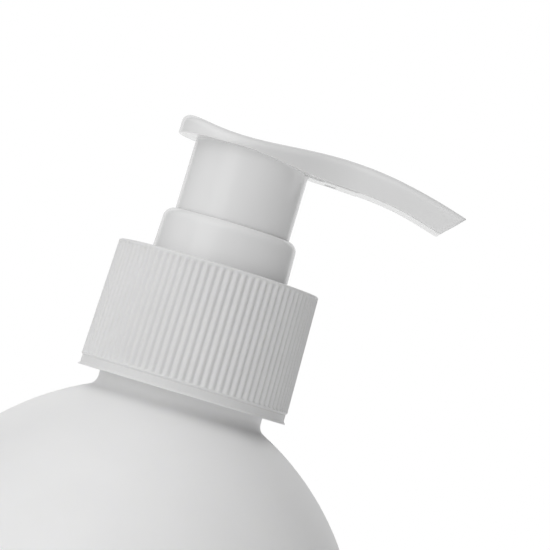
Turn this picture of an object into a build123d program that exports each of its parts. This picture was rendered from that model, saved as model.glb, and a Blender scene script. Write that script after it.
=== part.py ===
from build123d import *
import os
from math import asin, degrees, pi, sqrt

os.makedirs("parts", exist_ok=True)

# A 500 ml shampoo bottle with a screw-on lotion pump, in millimetres. +Z is up, the bottle stands on
# the origin and the spout points along +X. Each piece is drawn where it sits when the closure is
# tight and the pump head is up.

# ---- Levels. Most are counted from the lower edge of the closure ----
CLOSURE_Z = 134.0
CLOSURE_H = 20.5
CLOSURE_TOP_T = 1.6
LIP_Z = CLOSURE_Z + 16.7  # sealing lip of the bottle's neck
GASKET_T = 1.0
FLANGE_TOP_Z = CLOSURE_Z + CLOSURE_H - CLOSURE_TOP_T
COLLAR_TOP_Z = CLOSURE_Z + 27.5
COLLAR_FLOOR_Z = CLOSURE_Z + 9.8  # underside of the collar's floor, where the pump cylinder begins
PLATE_Z = CLOSURE_Z + 39.0  # underside of the head's plate

# ---- Bottle ----
BODY_R = 39.2
WALL = 1.2
HEEL_R = 5.0
PUSH_UP = 3.0  # height of the hollow under the base
STAND_R = 31.0  # inner edge of the ring that the bottle stands on
PUSH_UP_R = (STAND_R**2 + PUSH_UP**2) / (2 * PUSH_UP)
PUSH_UP_ANGLE = degrees(asin(STAND_R / PUSH_UP_R))
DOME_R = 44.4  # the shoulder is one arc, tangent to the straight side
DOME_Z = CLOSURE_Z - 42.4
NECK_FOOT_R = 13.2
NECK_R = 12.8
NECK_BORE_R = 11.1
NECK_FOOT_H = 3.5  # the neck is stouter below the thread
NECK_FILLET = 2.5

# ---- Screw thread, 28-410 ----
PITCH = 4.233
TURNS = 1.5
NECK_THREAD_R = 13.85
NECK_THREAD_Z = LIP_Z - 8.7  # middle of the thread's lower end
CLOSURE_BORE_R = 14.15
CLOSURE_THREAD_R = 13.1
NECK_THREAD_W = (2.4, 1.1)  # width at the root and at the crest
CLOSURE_THREAD_W = (2.2, 0.9)
THREAD_BITE = 0.15  # how far a thread's root runs into the wall behind it

# ---- Closure ----
GRIP_LOW_R = 16.75
GRIP_TOP_R = 16.2
BAND_R = 16.6
BAND_H = 1.4
RIM_R = 16.9  # thin lip that flares from the band's foot
RIM_H = 0.3
RIM_EDGE_T = 0.08
GROOVE_H = 0.3
GROOVE_DEPTH = 0.3
RIBS = 86
RIB_DEPTH = 0.45
RIB_VALLEY = 0.75  # share of the rib pitch that the valley's mouth takes
RIB_TOP_GAP = 0.7
CLOSURE_HOLE_R = 10.3

# ---- Pump cylinder, the housing ----
CUP_R = 10.8
CUP_BORE_R = 10.2
FLANGE_R = 12.6
CYLINDER_R = 7.2
CYLINDER_BORE_R = 6.0
SEAL_T = 1.5
SEAL_R = 6.5
SEAT_Z = CLOSURE_Z - 33.2  # the spring stands on this ledge
CHAMBER_R = 3.2
CHAMBER_FLOOR_Z = SEAT_Z - 5.0
INLET_R = 1.7
SOCKET_TOP_Z = SEAT_Z - 8.8
SOCKET_LOW_Z = SOCKET_TOP_Z - 8.0
TAIL_R = 4.3
VENT_R = 0.6

# ---- Collar ----
COLLAR_LOW_R = 10.95
COLLAR_TOP_R = 10.78
COLLAR_ROUND = 1.6
WELL_R = 10.15
WELL_BORE_R = 9.5
COLLAR_FLOOR_T = 1.2
GUIDE_R = 4.7
GUIDE_H = 6.0
SNAP = 0.15  # height of the bead that holds the collar in the housing
SNAP_Z = CLOSURE_Z + 15.0

# ---- Stem, rod, piston, spring and ball ----
STEM_R = 3.5
STEM_BORE_R = 2.3
STEM_STOP_R = 4.5
STEM_STOP_T = 1.9
STEM_LOW_Z = CLOSURE_Z + 6.3
STEM_TOP_Z = PLATE_Z - 1.0
RUNNING = 0.08  # radial clearance of the stem in its guide and of the piston in its cylinder
ROD_BORE_R = 1.5
ROD_TOP_Z = CLOSURE_Z + 18.0
CONE_TOP_Z = CLOSURE_Z + 0.06
CONE_R = 4.4
VALVE_FLANGE_R = 5.2
VALVE_FLANGE_T = 1.1
SPIGOT_R = 3.8
SPIGOT_H = 4.0
PISTON_Z = CLOSURE_Z - 0.5
PISTON_BORE_R = 2.6
PISTON_HUB_R = 3.9
WIRE_R = 0.5
SPRING_R = 4.7  # to the middle of the wire
SPRING_COILS = 9
SPRING_GAP = 0.05  # at each end of the spring
BALL_R = 2.5
TUBE_R = 3.2
TUBE_BORE_R = 2.3
TUBE_LOW_Z = 6.0

# ---- Head ----
SKIRT_R = 9.25
SKIRT_BORE_R = 8.0
SKIRT_LOW_Z = CLOSURE_Z + 23.0
SOCKET_R = 5.0
SOCKET_DEPTH = 8.0
DISC_R = 10.4  # round end of the plate, behind the skirt
DISC_X = -1.8
SPOUT_HALF_W = 4.5
TIP_HALF_W = 3.95
HEAD_ROUND = 1.2  # rounding of the plate's and the spout's upper edges
SPOUT_START_X = 17.5
TIP_TOP = (34.75, CLOSURE_Z + 38.78)
TIP_LOW = (31.3, CLOSURE_Z + 35.25)
PASSAGE_HALF_W = 2.5
PASSAGE_FLOOR_T = 0.8
PASSAGE_ROOF_T = 0.9
PLUG_END_X = 17.5
PLUG_HALF_W = 3.9
PLUG_T = 1.0
POCKET_X = (11.8, 14.1)  # shallow pocket in the plug's underside
POCKET_HALF_W = 2.2
POCKET_TOP_Z = CLOSURE_Z + 38.5
BRIDGE_T = 1.4
GUSSET_T = 1.0
GUSSET_H = 5.0


def turned(*outline, mode=Mode.ADD):
    """Revolve a closed outline of (radius, height) points round the pump's axis."""
    with BuildSketch(Plane.XZ) as section:
        with BuildLine():
            Polyline(*outline, close=True)
        make_face()
    revolve(section.sketch, axis=Axis.Z, mode=mode)


def tube(bore_r, outer_r, low_z, high_z, mode=Mode.ADD):
    """A ring or tube round the pump's axis; a bore_r of 0 makes it solid."""
    with BuildSketch(Plane.XY.offset(low_z)) as section:
        Circle(outer_r)
        if bore_r:
            Circle(bore_r, mode=Mode.SUBTRACT)
    extrude(section.sketch, amount=high_z - low_z, mode=mode)


def screw_thread(root_r, crest_r, widths, low_z):
    """One right-hand ridge of trapezoid section; crest_r is under root_r for an inside thread."""
    root_w, crest_w = widths
    rise = crest_r - root_r
    with BuildPart() as thread:
        with BuildLine() as path:
            Helix(pitch=PITCH, height=PITCH * TURNS, radius=root_r, center=(0, 0, low_z))
        with BuildSketch(Plane(path.line @ 0, x_dir=(1, 0, 0), z_dir=path.line % 0)):
            with BuildLine():
                Polyline(
                    (0, -root_w / 2),
                    (rise, -crest_w / 2),
                    (rise, crest_w / 2),
                    (0, root_w / 2),
                    close=True,
                )
            make_face()
        sweep(path=path.line, is_frenet=True)
    return thread.part


def finish(builder, name):
    """Name a finished piece and write its file."""
    builder.part.label = name
    export_step(builder.part, f"parts/{name}.step")


# ---- Bottle: one blow-moulded shell with the neck's thread ----
neck_thread = screw_thread(NECK_R - THREAD_BITE, NECK_THREAD_R, NECK_THREAD_W, NECK_THREAD_Z)


def dome_height(radius, inset=0.0):
    """Height of the shoulder's outside, or of its inside where inset is the wall, at that radius."""
    across = radius - (BODY_R - DOME_R)
    return DOME_Z + sqrt((DOME_R - inset) ** 2 - across**2)


with BuildPart() as bottle:
    with BuildSketch(Plane.XZ):
        with BuildLine():
            Polyline((0, LIP_Z), (0, 0), (BODY_R, 0), (BODY_R, DOME_Z))
            RadiusArc((BODY_R, DOME_Z), (NECK_FOOT_R, dome_height(NECK_FOOT_R)), -DOME_R)
            Polyline(
                (NECK_FOOT_R, dome_height(NECK_FOOT_R)),
                (NECK_FOOT_R, CLOSURE_Z + NECK_FOOT_H),
                (NECK_R, CLOSURE_Z + NECK_FOOT_H + 0.4),
                (NECK_R, LIP_Z),
                (0, LIP_Z),
            )
        make_face()
        heel = vertices().sort_by(Axis.X)[-2:].sort_by(Axis.Y)[0]
        fillet(heel, HEEL_R)
        foot = vertices().filter_by_position(Axis.X, NECK_FOOT_R, NECK_FOOT_R).sort_by(Axis.Y)[0]
        fillet(foot, NECK_FILLET)
    revolve(axis=Axis.Z)
    with BuildSketch(Plane.XZ):
        with BuildLine():
            CenterArc((0, PUSH_UP - PUSH_UP_R), PUSH_UP_R, 90 - PUSH_UP_ANGLE, PUSH_UP_ANGLE)
            Polyline((0, PUSH_UP), (0, 0), (STAND_R, 0))
        make_face()
    revolve(axis=Axis.Z, mode=Mode.SUBTRACT)
    with BuildSketch(Plane.XZ):
        with BuildLine():
            CenterArc((0, PUSH_UP + WALL - PUSH_UP_R), PUSH_UP_R, 90 - PUSH_UP_ANGLE, PUSH_UP_ANGLE)
            Polyline((STAND_R, WALL), (BODY_R - WALL, WALL), (BODY_R - WALL, DOME_Z))
            RadiusArc(
                (BODY_R - WALL, DOME_Z), (NECK_BORE_R, dome_height(NECK_BORE_R, WALL)), WALL - DOME_R
            )
            Polyline(
                (NECK_BORE_R, dome_height(NECK_BORE_R, WALL)),
                (NECK_BORE_R, LIP_Z),
                (0, LIP_Z),
                (0, PUSH_UP + WALL),
            )
        make_face()
        inner_heel = vertices().sort_by(Axis.X)[-2:].sort_by(Axis.Y)[0]
        fillet(inner_heel, HEEL_R - WALL)
    revolve(axis=Axis.Z, mode=Mode.SUBTRACT)
    add(neck_thread)
finish(bottle, "bottle")

# ---- Closure: a ribbed screw cap with a hole in its top for the collar ----
CLOSURE_TOP_Z = CLOSURE_Z + CLOSURE_H
GROOVE_Z = CLOSURE_Z + BAND_H + GROOVE_H / 2
RIBS_TOP_Z = CLOSURE_TOP_Z - RIB_TOP_GAP
closure_thread = screw_thread(
    CLOSURE_BORE_R + THREAD_BITE, CLOSURE_THREAD_R, CLOSURE_THREAD_W, NECK_THREAD_Z - PITCH / 2
)


def valley_section(surface_r, height):
    """The V between two ribs, drawn past the surface so that it cuts clean."""
    half_w = RIB_VALLEY * 2 * pi * surface_r / RIBS
    with BuildSketch(Plane.XY.offset(height)) as section:
        with BuildLine():
            Polyline(
                (surface_r - RIB_DEPTH, 0),
                (surface_r + RIB_DEPTH, -half_w),
                (surface_r + RIB_DEPTH, half_w),
                close=True,
            )
        make_face()
    return section.sketch


with BuildPart() as rib_valley:
    loft([valley_section(GRIP_LOW_R, GROOVE_Z), valley_section(GRIP_TOP_R, RIBS_TOP_Z)])

with BuildPart() as screw_closure:
    with BuildSketch(Plane.XZ):
        with BuildLine():
            Polyline(
                (CLOSURE_BORE_R, CLOSURE_Z),
                (RIM_R, CLOSURE_Z),
                (RIM_R, CLOSURE_Z + RIM_EDGE_T),
                (BAND_R, CLOSURE_Z + RIM_H),
                (BAND_R, CLOSURE_Z + BAND_H),
                (BAND_R - GROOVE_DEPTH, GROOVE_Z),
                (GRIP_LOW_R, CLOSURE_Z + BAND_H + GROOVE_H),
                (GRIP_TOP_R, CLOSURE_TOP_Z),
                (CLOSURE_HOLE_R, CLOSURE_TOP_Z),
                (CLOSURE_HOLE_R, FLANGE_TOP_Z),
                (CLOSURE_BORE_R, FLANGE_TOP_Z),
                close=True,
            )
        make_face()
        fillet(vertices().filter_by_position(Axis.X, GRIP_TOP_R, GRIP_TOP_R), RIB_DEPTH)
    revolve(axis=Axis.Z)
    with PolarLocations(0, RIBS):
        add(rib_valley.part, mode=Mode.SUBTRACT)
    add(closure_thread)
finish(screw_closure, "screw_closure")

# ---- Gasket between the bottle's lip and the pump's flange ----
with BuildPart() as bottle_gasket:
    tube(CUP_R + 0.1, FLANGE_R - 0.1, LIP_Z, LIP_Z + GASKET_T)
finish(bottle_gasket, "bottle_gasket")

# ---- Pump housing: flange, cup, cylinder, ball chamber and the socket of the dip tube ----
FLANGE_LOW_Z = LIP_Z + GASKET_T
SEAL_Z = COLLAR_FLOOR_Z - SEAL_T
CUP_FLOOR_T = 1.0
CHAMBER_CONE_H = CHAMBER_R - INLET_R  # the ball's seat slopes at 45 degrees
NUB_Z = SEAT_Z - 1.1
NUB_H = 1.0
NUB_REACH = 1.2
NUB_W = 0.8
VENT_Z = CLOSURE_Z + 3.0

with BuildPart() as pump_housing:
    turned(
        (CUP_BORE_R, FLANGE_TOP_Z),
        (FLANGE_R, FLANGE_TOP_Z),
        (FLANGE_R, FLANGE_LOW_Z),
        (CUP_R, FLANGE_LOW_Z),
        (CUP_R, COLLAR_FLOOR_Z - CUP_FLOOR_T),
        (CYLINDER_R, COLLAR_FLOOR_Z - CUP_FLOOR_T),
        (CYLINDER_R, SEAT_Z - 1.0),
        (TAIL_R, SEAT_Z - 4.0),
        (TAIL_R, SOCKET_LOW_Z),
        (TUBE_R + 0.3, SOCKET_LOW_Z),
        (TUBE_R, SOCKET_LOW_Z + 0.5),
        (TUBE_R, SOCKET_TOP_Z),
        (INLET_R, SOCKET_TOP_Z),
        (INLET_R, CHAMBER_FLOOR_Z - CHAMBER_CONE_H),
        (CHAMBER_R, CHAMBER_FLOOR_Z),
        (CHAMBER_R, SEAT_Z),
        (CYLINDER_BORE_R, SEAT_Z),
        (CYLINDER_BORE_R, SEAL_Z),
        (SEAL_R, SEAL_Z),
        (SEAL_R, COLLAR_FLOOR_Z),
        (CUP_BORE_R, COLLAR_FLOOR_Z),
        (CUP_BORE_R, SNAP_Z - 0.7),
        (CUP_BORE_R + SNAP, SNAP_Z - 0.3),
        (CUP_BORE_R + SNAP, SNAP_Z + 0.3),
        (CUP_BORE_R, SNAP_Z + 0.7),
    )
    with BuildSketch(Plane.XY.offset(NUB_Z)):
        with PolarLocations(CHAMBER_R - NUB_REACH / 2 + 0.1, 3):
            Rectangle(NUB_REACH + 0.2, NUB_W)
    extrude(amount=NUB_H)
    with BuildSketch(Plane.YZ.offset(CYLINDER_BORE_R - 0.5)):
        with Locations((0, VENT_Z)):
            Circle(VENT_R)
    extrude(amount=2.5, mode=Mode.SUBTRACT)
finish(pump_housing, "pump_housing")

# ---- Collar: the cup that guides the head and snaps into the housing ----
COLLAR_LOW_Z = CLOSURE_TOP_Z + 0.1
WELL_FLOOR_Z = COLLAR_FLOOR_Z + COLLAR_FLOOR_T
round_in = COLLAR_ROUND - (COLLAR_TOP_R - WELL_BORE_R)
mouth_z = COLLAR_TOP_Z - COLLAR_ROUND + sqrt(COLLAR_ROUND**2 - round_in**2)

with BuildPart() as locking_collar:
    with BuildSketch(Plane.XZ):
        with BuildLine():
            Polyline(
                (WELL_BORE_R, mouth_z),
                (WELL_BORE_R, WELL_FLOOR_Z),
                (GUIDE_R, WELL_FLOOR_Z),
                (GUIDE_R, WELL_FLOOR_Z + GUIDE_H),
                (STEM_R + RUNNING, WELL_FLOOR_Z + GUIDE_H),
                (STEM_R + RUNNING, COLLAR_FLOOR_Z),
                (WELL_R, COLLAR_FLOOR_Z),
                (WELL_R, SNAP_Z - 0.5),
                (WELL_R + SNAP, SNAP_Z - 0.2),
                (WELL_R + SNAP, SNAP_Z + 0.2),
                (WELL_R, SNAP_Z + 0.5),
                (WELL_R, COLLAR_LOW_Z),
                (COLLAR_LOW_R, COLLAR_LOW_Z),
                (COLLAR_TOP_R, COLLAR_TOP_Z - COLLAR_ROUND),
            )
            RadiusArc((COLLAR_TOP_R, COLLAR_TOP_Z - COLLAR_ROUND), (WELL_BORE_R, mouth_z), -COLLAR_ROUND)
        make_face()
    revolve(axis=Axis.Z)
finish(locking_collar, "locking_collar")

# ---- Seal round the stem, held under the collar ----
with BuildPart() as stem_seal:
    tube(STEM_R + 0.02, SEAL_R, SEAL_Z, COLLAR_FLOOR_Z)
finish(stem_seal, "stem_seal")

# ---- Dip tube, cut aslant at its foot so that it can't seal on the base ----
with BuildPart() as dip_tube:
    tube(TUBE_BORE_R, TUBE_R, TUBE_LOW_Z, SOCKET_TOP_Z)
    slant = Plane(origin=(-TUBE_R, 0, TUBE_LOW_Z), z_dir=(-1, 0, 1.2))
    split(bisect_by=slant, keep=Keep.TOP)
finish(dip_tube, "dip_tube")

# ---- Ball of the inlet valve, on its seat ----
SEAT_APEX_Z = CHAMBER_FLOOR_Z - CHAMBER_R
BALL_Z = SEAT_APEX_Z + sqrt(2) * (BALL_R + 0.05)
with BuildPart() as inlet_ball:
    with Locations((0, 0, BALL_Z)):
        Sphere(BALL_R)
finish(inlet_ball, "inlet_ball")

# ---- Piston rod: spigot for the spring, valve flange and cone, and a tube with four windows ----
VALVE_TOP_Z = CONE_TOP_Z - (CONE_R - STEM_BORE_R)
SPRING_TOP_Z = VALVE_TOP_Z - VALVE_FLANGE_T
WINDOW_W = 1.6
WINDOW_H = 2.0
WINDOW_Z = CONE_TOP_Z + 1.4  # middle of the windows

with BuildPart() as piston_rod:
    turned(
        (0, SPRING_TOP_Z - SPIGOT_H),
        (SPIGOT_R - 0.8, SPRING_TOP_Z - SPIGOT_H),
        (SPIGOT_R, SPRING_TOP_Z - SPIGOT_H + 0.8),
        (SPIGOT_R, SPRING_TOP_Z),
        (VALVE_FLANGE_R, SPRING_TOP_Z),
        (VALVE_FLANGE_R, VALVE_TOP_Z),
        (CONE_R, VALVE_TOP_Z),
        (STEM_BORE_R, CONE_TOP_Z),
        (STEM_BORE_R, ROD_TOP_Z),
        (ROD_BORE_R, ROD_TOP_Z),
        (ROD_BORE_R, VALVE_TOP_Z),
        (0, VALVE_TOP_Z),
    )
    with BuildSketch(Plane.XZ.offset(-STEM_BORE_R - 1)):
        with Locations((0, WINDOW_Z)):
            Rectangle(WINDOW_W, WINDOW_H)
    extrude(amount=2 * STEM_BORE_R + 2, mode=Mode.SUBTRACT)
    with BuildSketch(Plane.YZ.offset(-STEM_BORE_R - 1)):
        with Locations((0, WINDOW_Z)):
            Rectangle(WINDOW_W, WINDOW_H)
    extrude(amount=2 * STEM_BORE_R + 2, mode=Mode.SUBTRACT)
finish(piston_rod, "piston_rod")

# ---- Piston: a sleeve that slides a little on the rod, with a lip at each end ----
PISTON_R = CYLINDER_BORE_R - RUNNING
LIP_R = 5.35  # inside of the lips
WEB_R = 5.0
HUB_TOP_Z = PISTON_Z + 5.5
PISTON_TOP_Z = PISTON_Z + 7.0

with BuildPart() as piston:
    turned(
        (PISTON_BORE_R, PISTON_Z + 0.4),
        (PISTON_BORE_R + 0.4, PISTON_Z),
        (PISTON_HUB_R, PISTON_Z),
        (PISTON_HUB_R, PISTON_Z + 2.8),
        (WEB_R, PISTON_Z + 2.8),
        (LIP_R, PISTON_Z + 0.4),
        (PISTON_R, PISTON_Z + 0.4),
        (PISTON_R, PISTON_Z + 1.4),
        (PISTON_R - 0.25, PISTON_Z + 2.1),
        (PISTON_R - 0.25, PISTON_TOP_Z - 1.7),
        (PISTON_R, PISTON_TOP_Z - 1.0),
        (PISTON_R, PISTON_TOP_Z),
        (LIP_R, PISTON_TOP_Z),
        (WEB_R, PISTON_TOP_Z - 2.0),
        (WEB_R, PISTON_Z + 4.1),
        (PISTON_HUB_R, PISTON_Z + 4.1),
        (PISTON_HUB_R, HUB_TOP_Z),
        (PISTON_BORE_R, HUB_TOP_Z),
    )
finish(piston, "piston")

# ---- Stem: the tube between head and piston rod, with a stop ring under the seal ----
with BuildPart() as stem:
    tube(STEM_BORE_R, STEM_R, STEM_LOW_Z, STEM_TOP_Z)
    tube(STEM_BORE_R, STEM_STOP_R, STEM_LOW_Z, STEM_LOW_Z + STEM_STOP_T)
finish(stem, "stem")

# ---- Return spring ----
with BuildPart() as return_spring:
    with BuildLine() as coil:
        wire_foot = SEAT_Z + WIRE_R + SPRING_GAP
        wire_rise = SPRING_TOP_Z - WIRE_R - SPRING_GAP - wire_foot
        Helix(pitch=wire_rise / SPRING_COILS, height=wire_rise, radius=SPRING_R, center=(0, 0, wire_foot))
    with BuildSketch(Plane(origin=coil.line @ 0, z_dir=coil.line % 0)):
        Circle(WIRE_R)
    sweep(path=coil.line, is_frenet=True)
finish(return_spring, "return_spring")

# ---- Head: plate, spout, skirt and stem socket in one moulding, with the spout's passage ----
TIP_CLEAR_X = TIP_TOP[0] + 2
TAPER = (TIP_HALF_W - SPOUT_HALF_W) / (TIP_TOP[0] - SPOUT_START_X)
TIP_CLEAR_HALF_W = SPOUT_HALF_W + TAPER * (TIP_CLEAR_X - SPOUT_START_X)
DIP = (-1.3, CLOSURE_Z + 40.75)  # lowest point of the saddle
CREST = (14.2, CLOSURE_Z + 42.2)
TOP_LINE = [
    (DISC_X - DISC_R - 1, CLOSURE_Z + 42.45),
    (-7.0, CLOSURE_Z + 41.2),
    DIP,
    (7.0, CLOSURE_Z + 41.6),
    CREST,
    (26.5, CLOSURE_Z + 40.88),
    TIP_TOP,
]
TOP_ENDS = [(1, -0.1), (1, -0.3)]  # slopes of that line at its two ends
UNDER_LINE = [(9.4, CLOSURE_Z + 38.12), (17.5, CLOSURE_Z + 37.76), (24.1, CLOSURE_Z + 37.05), TIP_LOW]
UNDER_ENDS = [(1, -0.06), (1, -0.27)]
HEAD_BACK = (DISC_X - DISC_R - 1, PLATE_Z)
HEAD_TOP_ANGLE = 75


def raised(line, rise):
    """The same line, moved up or down."""
    return [(x, z + rise) for x, z in line]


PASSAGE_ROOF = [
    (-STEM_BORE_R, PLATE_Z + 1.1),
    (CREST[0], CREST[1] - PASSAGE_ROOF_T),
    (TOP_LINE[-2][0], TOP_LINE[-2][1] - PASSAGE_ROOF_T),
    (TIP_CLEAR_X, TIP_TOP[1] - PASSAGE_ROOF_T - 1.2),
]
PASSAGE_FLOOR = [
    (-STEM_BORE_R, PLATE_Z - 0.1),
    *raised(UNDER_LINE, PASSAGE_FLOOR_T),
    (TIP_CLEAR_X, TIP_LOW[1] + PASSAGE_FLOOR_T - 3),
]

# The strip that closes the underside of the spout, where the passage turns into the socket.
with BuildPart() as plug_strip:
    with BuildSketch(Plane.XZ.offset(-PLUG_HALF_W)):
        with BuildLine():
            Spline(*UNDER_LINE, tangents=UNDER_ENDS)
            Spline(*raised(UNDER_LINE, PLUG_T), tangents=UNDER_ENDS)
            Line(UNDER_LINE[0], raised(UNDER_LINE, PLUG_T)[0])
            Line(UNDER_LINE[-1], raised(UNDER_LINE, PLUG_T)[-1])
        make_face()
        split(bisect_by=Plane(origin=(PLUG_END_X, 0, 0), z_dir=(-1, 0, 0)), keep=Keep.TOP)
    extrude(amount=2 * PLUG_HALF_W)

with BuildPart() as spout_plug:
    add(plug_strip.part)
    with BuildSketch(Plane.XY.offset(POCKET_TOP_Z)):
        with Locations((sum(POCKET_X) / 2, 0)):
            Rectangle(POCKET_X[1] - POCKET_X[0], 2 * POCKET_HALF_W)
    extrude(amount=-PLUG_T, mode=Mode.SUBTRACT)
finish(spout_plug, "spout_plug")

with BuildPart() as actuator_head:
    with BuildSketch(Plane.XY.offset(TIP_LOW[1] - 5)):
        with BuildLine():
            shoulder = CenterArc((DISC_X, 0), DISC_R, HEAD_TOP_ANGLE, 360 - 2 * HEAD_TOP_ANGLE)
            Spline((SPOUT_START_X, SPOUT_HALF_W), shoulder @ 0, tangents=[(-1, -TAPER), shoulder % 0])
            Spline(shoulder @ 1, (SPOUT_START_X, -SPOUT_HALF_W), tangents=[shoulder % 1, (1, -TAPER)])
            Polyline(
                (SPOUT_START_X, -SPOUT_HALF_W),
                (TIP_CLEAR_X, -TIP_CLEAR_HALF_W),
                (TIP_CLEAR_X, TIP_CLEAR_HALF_W),
                (SPOUT_START_X, SPOUT_HALF_W),
            )
        make_face()
    extrude(amount=15)
    with BuildSketch(Plane.XZ.offset(-DISC_R - 1)):
        with BuildLine():
            Spline(*TOP_LINE, tangents=TOP_ENDS)
            Spline(*UNDER_LINE, tangents=UNDER_ENDS)
            Line(TIP_TOP, TIP_LOW)
            Polyline(UNDER_LINE[0], (0, PLATE_Z), HEAD_BACK, TOP_LINE[0])
        make_face()
    extrude(amount=2 * DISC_R + 2, mode=Mode.INTERSECT)
    top_edges = faces().sort_by(Axis.Z)[-1].edges()
    fillet(top_edges.sort_by(Axis.X)[:-1], HEAD_ROUND)
    tube(SKIRT_BORE_R, SKIRT_R, SKIRT_LOW_Z, PLATE_Z + 0.5)
    tube(0, SOCKET_R, STEM_TOP_Z - SOCKET_DEPTH, PLATE_Z + 0.5)
    with BuildSketch(Plane.XY.offset(PLATE_Z - BRIDGE_T)):
        with Locations((SKIRT_BORE_R / 2, 0)):
            Rectangle(SKIRT_BORE_R + 1, 2 * PASSAGE_HALF_W + 2)
    extrude(amount=BRIDGE_T)
    with BuildSketch(Plane.XY.offset(PLATE_Z - GUSSET_H)):
        with PolarLocations((SKIRT_BORE_R + SOCKET_R) / 2, 3, start_angle=90, angular_range=180):
            Rectangle(SKIRT_BORE_R - SOCKET_R + 0.6, GUSSET_T)
    extrude(amount=GUSSET_H)
    tube(0, STEM_R, STEM_TOP_Z - SOCKET_DEPTH, STEM_TOP_Z, mode=Mode.SUBTRACT)
    tube(0, STEM_BORE_R, STEM_TOP_Z, PLATE_Z + 1.1, mode=Mode.SUBTRACT)
    with BuildSketch(Plane.XZ.offset(-PASSAGE_HALF_W)):
        with BuildLine():
            Spline(*PASSAGE_ROOF)
            Spline(*PASSAGE_FLOOR)
            Line(PASSAGE_ROOF[-1], PASSAGE_FLOOR[-1])
            Line(PASSAGE_ROOF[0], PASSAGE_FLOOR[0])
        make_face()
    extrude(amount=2 * PASSAGE_HALF_W, mode=Mode.SUBTRACT)
    add(plug_strip.part, mode=Mode.SUBTRACT)
finish(actuator_head, "actuator_head")
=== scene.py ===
"""Looks of the shampoo bottle with its lotion pump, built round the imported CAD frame.

Shapes are worked out in millimetres, counted from the CAD nodes' boxes, and made into meshes in metres.
"""

import math

import bmesh
import bpy
import numpy as np
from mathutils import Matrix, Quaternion, Vector


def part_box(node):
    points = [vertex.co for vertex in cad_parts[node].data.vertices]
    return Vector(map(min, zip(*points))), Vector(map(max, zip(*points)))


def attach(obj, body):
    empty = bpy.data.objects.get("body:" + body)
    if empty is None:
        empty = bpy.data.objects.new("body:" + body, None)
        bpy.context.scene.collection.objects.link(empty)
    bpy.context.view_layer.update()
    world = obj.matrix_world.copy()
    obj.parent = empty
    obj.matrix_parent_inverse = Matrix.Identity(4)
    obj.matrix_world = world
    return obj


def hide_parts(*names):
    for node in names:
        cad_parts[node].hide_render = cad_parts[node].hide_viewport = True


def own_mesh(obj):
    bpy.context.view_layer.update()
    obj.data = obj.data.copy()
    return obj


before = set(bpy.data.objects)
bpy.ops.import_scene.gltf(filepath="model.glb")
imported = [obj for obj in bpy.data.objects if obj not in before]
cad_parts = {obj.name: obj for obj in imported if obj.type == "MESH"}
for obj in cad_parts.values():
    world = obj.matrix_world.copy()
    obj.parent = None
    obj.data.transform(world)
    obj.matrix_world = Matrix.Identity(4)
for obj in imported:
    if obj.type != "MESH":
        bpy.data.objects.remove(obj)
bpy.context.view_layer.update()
MM = 0.001


def low(node):
    """Lowest corner of a CAD node, in millimetres."""
    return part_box(node)[0] / MM


def high(node):
    """Highest corner of a CAD node, in millimetres."""
    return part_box(node)[1] / MM


# ---------------------------------------------------------------- mesh helpers


def rounded(corners, closed=False, steps=6, hold=0.15):
    """Points of an outline of (r, z) corners. A corner's third number rounds it by that radius.

    Straight spans get a point close to each end, so that smooth shading leaves them flat.
    """
    n = len(corners)
    runs = []
    for i, corner in enumerate(corners):
        p = np.array(corner[:2], float)
        radius = corner[2] if len(corner) > 2 else 0.0
        inner = closed or 0 < i < n - 1
        if not radius or not inner:
            runs.append([p])
            continue
        a = np.array(corners[i - 1][:2], float) - p
        b = np.array(corners[(i + 1) % n][:2], float) - p
        room = 0.49 * min(np.linalg.norm(a), np.linalg.norm(b))
        a /= np.linalg.norm(a)
        b /= np.linalg.norm(b)
        half = math.acos(max(-1.0, min(1.0, float(a @ b)))) / 2
        reach = min(radius / math.tan(half), room)
        radius = reach * math.tan(half)
        middle = (a + b) / np.linalg.norm(a + b)
        centre = p + middle * radius / math.sin(half)
        start, end = p + a * reach - centre, p + b * reach - centre
        sweep = math.pi - 2 * half
        points = []
        for k in range(steps + 1):
            t = k / steps
            point = (math.sin((1 - t) * sweep) * start + math.sin(t * sweep) * end) / math.sin(sweep)
            points.append(centre + point)
        runs.append(points)
    outline = []
    for i, run in enumerate(runs):
        outline.extend(run)
        if i == n - 1 and not closed:
            break
        after = runs[(i + 1) % n]
        span = after[0] - run[-1]
        length = float(np.linalg.norm(span))
        if length > 3 * hold and (len(run) > 1 or len(after) > 1):
            outline.append(run[-1] + span * hold / length)
            outline.append(after[0] - span * hold / length)
    return [(float(r), float(z)) for r, z in outline]


def turned(profile, angles, closed, depth=None):
    """Vertices and faces of a profile turned round the pump's axis; depth(k, angle) sinks a point."""
    verts, faces, rows = [], [], []
    for k, (r, z) in enumerate(profile):
        if r < 1e-6:
            rows.append([len(verts)] * len(angles))
            verts.append((0.0, 0.0, z))
            continue
        rows.append(list(range(len(verts), len(verts) + len(angles))))
        for angle in angles:
            at = r - (depth(k, angle) if depth else 0.0)
            verts.append((at * math.cos(angle), at * math.sin(angle), z))
    pairs = list(zip(rows, rows[1:] + rows[:1] if closed else rows[1:]))
    n = len(angles)
    for lower, upper in pairs:
        for j in range(n):
            ring = [lower[j], lower[(j + 1) % n], upper[(j + 1) % n], upper[j]]
            face = [v for i, v in enumerate(ring) if v not in ring[:i]]
            if len(face) > 2:
                faces.append(face)
    return verts, faces


def evenly(count):
    """Angles of a full turn."""
    return [2 * math.pi * j / count for j in range(count)]


def joined(*parts):
    """Several (vertices, faces) as one."""
    verts, faces = [], []
    for part_verts, part_faces in parts:
        base = len(verts)
        verts.extend(part_verts)
        faces.extend([[i + base for i in face] for face in part_faces])
    return verts, faces


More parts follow.
